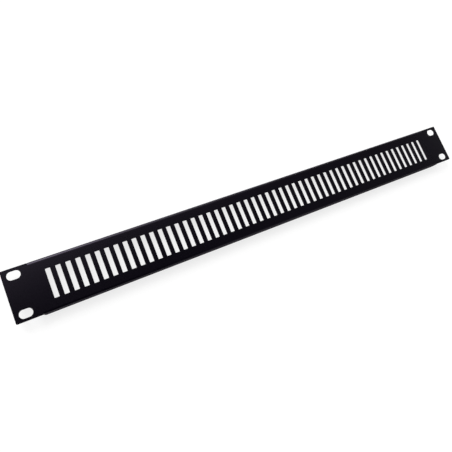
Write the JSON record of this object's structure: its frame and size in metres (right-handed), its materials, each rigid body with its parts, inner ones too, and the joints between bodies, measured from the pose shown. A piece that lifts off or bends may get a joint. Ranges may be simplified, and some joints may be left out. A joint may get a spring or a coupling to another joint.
{
  "type": "rack blanking panel",
  "caption": "Slotted 1U blanking panel for a 19-inch rack, folded from one steel sheet, with flanged long edges and slotted ear holes.",
  "frame": {"origin": "middle of the footprint, on the surface that the flanges' free edges rest on", "axes": "+X along the panel's length, +Y up the height it takes in a rack, +Z out of its face; it lies face up"},
  "size_m": [0.4826, 0.0444, 0.01],
  "materials": {
    "powder_coat": "satin black powder coat, very fine texture"
  },
  "bodies": {
    "root": {"vented_panel": "powder_coat"}
  },
  "joints": []
}
